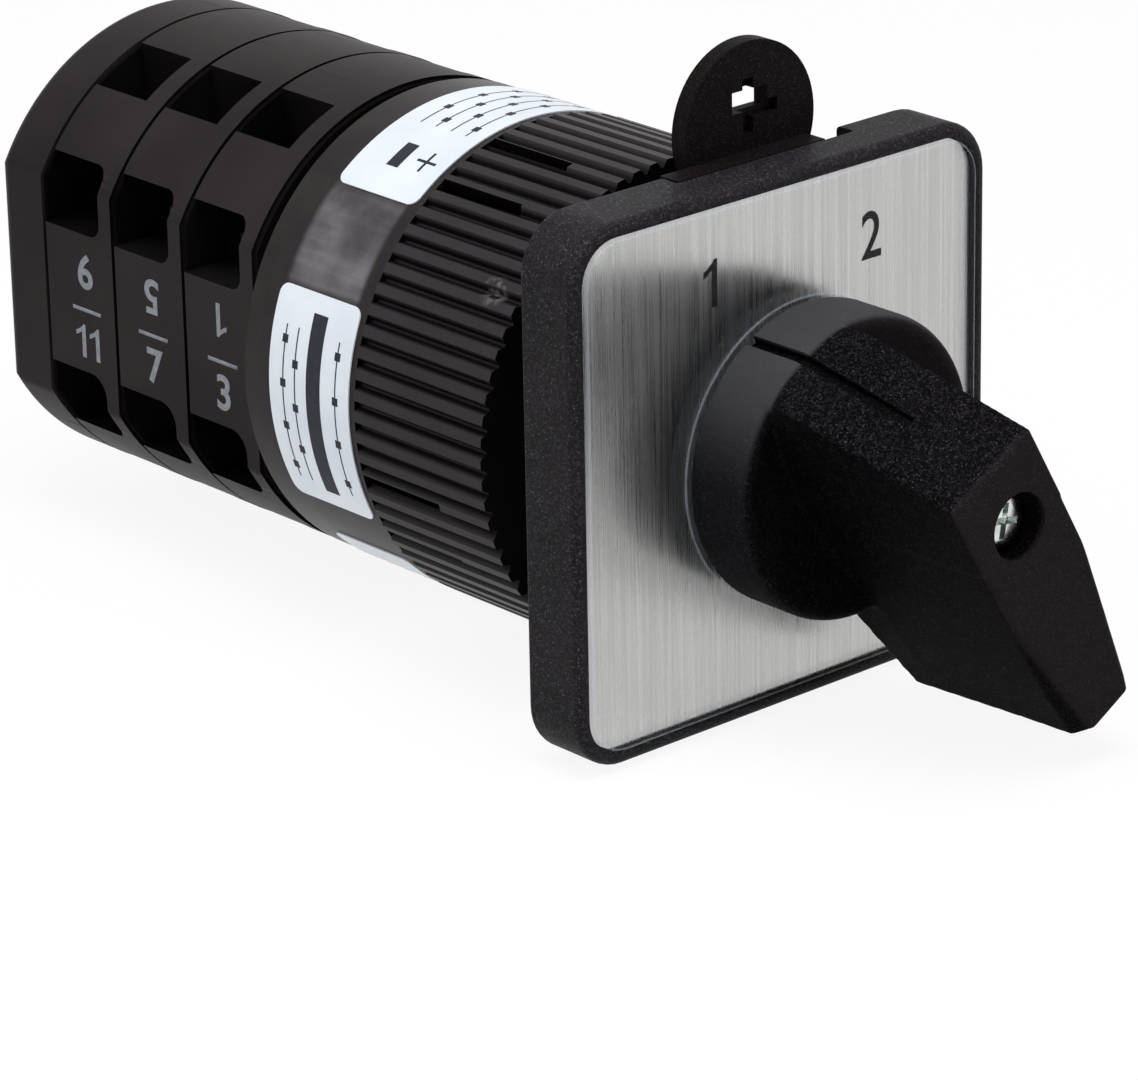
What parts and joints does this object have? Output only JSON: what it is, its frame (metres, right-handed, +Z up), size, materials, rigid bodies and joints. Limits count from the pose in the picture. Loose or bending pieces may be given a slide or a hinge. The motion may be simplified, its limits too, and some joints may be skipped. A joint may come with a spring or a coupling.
{
  "type": "rotary cam switch",
  "caption": "Panel-mounted rotary cam switch: square front with a grip knob, locking lever, ribbed clamp ring, and stacked contact housings with wire and screwdriver holes.",
  "frame": {"origin": "on the shaft's axis, in the plane of the front frame's rear face", "axes": "+X to the right of someone facing the front, +Y along the shaft into the panel, +Z up"},
  "size_m": [0.048, 0.1126, 0.0575],
  "materials": {
    "frame_black": "finely grained, slightly sparkling black",
    "inlay_silver": "brushed from top to bottom",
    "clear_plastic": "clear, glossy",
    "gasket_rubber": "matte black",
    "lever_grey": "satin dark grey",
    "ring_black": "satin black",
    "housing_black": "satin grey-black",
    "label_white": "smooth printed paper, cool white",
    "knob_black": "coarse grained, slightly sparkling black",
    "cam_grey": "satin grey",
    "plunger_white": "natural white",
    "contact_brass": "plain",
    "spring_steel": "bright",
    "screw_zinc": "zinc plated",
    "shaft_steel": "drawn bar"
  },
  "bodies": {
    "housing": {"front_frame": "frame_black", "inlay_plate": "inlay_silver", "clear_cover": "clear_plastic", "panel_gasket": "gasket_rubber", "mounting_neck": "housing_black", "adapter_housing": "housing_black", "label_top": "label_white", "label_side": "label_white", "label_bottom": "label_white", "stage_housing_1": "housing_black", "contact_spring_1_upper": "spring_steel", "contact_spring_1_lower": "spring_steel", "stage_housing_2": "housing_black", "contact_spring_2_upper": "spring_steel", "contact_spring_2_lower": "spring_steel", "stage_housing_3": "housing_black", "contact_spring_3_upper": "spring_steel", "contact_spring_3_lower": "spring_steel", "rear_cover": "housing_black", "tie_bolts": "screw_zinc", "fixed_contact_01": "contact_brass", "fixed_contact_02": "contact_brass", "fixed_contact_03": "contact_brass", "fixed_contact_04": "contact_brass", "fixed_contact_05": "contact_brass", "fixed_contact_06": "contact_brass", "fixed_contact_07": "contact_brass", "fixed_contact_08": "contact_brass", "fixed_contact_09": "contact_brass", "fixed_contact_10": "contact_brass", "fixed_contact_11": "contact_brass", "fixed_contact_12": "contact_brass", "terminal_screws": "screw_zinc", "clamp_plates": "screw_zinc", "detent_spring_top": "spring_steel", "detent_spring_bottom": "spring_steel"},
    "rotor": {"shaft": "shaft_steel", "index_wheel": "cam_grey", "stop_disc": "cam_grey", "cam_disc_1": "cam_grey", "cam_disc_2": "cam_grey", "cam_disc_3": "cam_grey", "knob": "knob_black", "knob_screw": "screw_zinc"},
    "lock_lever": {"lock_lever": "lever_grey"},
    "clamp_ring": {"clamp_ring": "ring_black"},
    "contact_carriage_1_upper": {"plunger_1_upper": "plunger_white", "contact_bridge_1_upper": "contact_brass"},
    "contact_carriage_1_lower": {"plunger_1_lower": "plunger_white", "contact_bridge_1_lower": "contact_brass"},
    "contact_carriage_2_upper": {"plunger_2_upper": "plunger_white", "contact_bridge_2_upper": "contact_brass"},
    "contact_carriage_2_lower": {"plunger_2_lower": "plunger_white", "contact_bridge_2_lower": "contact_brass"},
    "contact_carriage_3_upper": {"plunger_3_upper": "plunger_white", "contact_bridge_3_upper": "contact_brass"},
    "contact_carriage_3_lower": {"plunger_3_lower": "plunger_white", "contact_bridge_3_lower": "contact_brass"}
  },
  "joints": [
    {"name": "knob_turn", "type": "hinge", "parent": "housing", "child": "rotor", "pos_m": [0, 0, 0], "axis": [0, 1, 0], "range_deg": [0, 60], "deforming": ["detent_spring_top", "detent_spring_bottom"]},
    {"name": "lock_lever_swing", "type": "hinge", "parent": "housing", "child": "lock_lever", "pos_m": [0, 0, 0], "axis": [0, 1, 0], "range_deg": [0, 7]},
    {"name": "clamp_ring_turn", "type": "hinge", "parent": "housing", "child": "clamp_ring", "pos_m": [0, 0, 0], "axis": [0, 1, 0], "range_deg": [0, 60]},
    {"name": "contact_slide_1_upper", "type": "slide", "parent": "housing", "child": "contact_carriage_1_upper", "axis": [0, 0, 1], "range_m": [0, 0.0015], "deforming": ["contact_spring_1_upper"]},
    {"name": "contact_slide_1_lower", "type": "slide", "parent": "housing", "child": "contact_carriage_1_lower", "axis": [0, 0, 1], "range_m": [0, 0.0015], "deforming": ["contact_spring_1_lower"]},
    {"name": "contact_slide_2_upper", "type": "slide", "parent": "housing", "child": "contact_carriage_2_upper", "axis": [0, 0, 1], "range_m": [0, 0.0015], "deforming": ["contact_spring_2_upper"]},
    {"name": "contact_slide_2_lower", "type": "slide", "parent": "housing", "child": "contact_carriage_2_lower", "axis": [0, 0, 1], "range_m": [0, 0.0015], "deforming": ["contact_spring_2_lower"]},
    {"name": "contact_slide_3_upper", "type": "slide", "parent": "housing", "child": "contact_carriage_3_upper", "axis": [0, 0, 1], "range_m": [0, 0.0015], "deforming": ["contact_spring_3_upper"]},
    {"name": "contact_slide_3_lower", "type": "slide", "parent": "housing", "child": "contact_carriage_3_lower", "axis": [0, 0, 1], "range_m": [0, 0.0015], "deforming": ["contact_spring_3_lower"]}
  ],
  "couplings": [
    {"joint": "contact_slide_1_upper", "follows": "knob_turn", "m_per_rad": 0.0014323},
    {"joint": "contact_slide_1_lower", "follows": "knob_turn", "m_per_rad": 0.0014323},
    {"joint": "contact_slide_2_upper", "follows": "knob_turn", "m_per_rad": 0.0014323},
    {"joint": "contact_slide_2_lower", "follows": "knob_turn", "m_per_rad": 0.0014323},
    {"joint": "contact_slide_3_upper", "follows": "knob_turn", "m_per_rad": 0.0014323},
    {"joint": "contact_slide_3_lower", "follows": "knob_turn", "m_per_rad": 0.0014323}
  ]
}
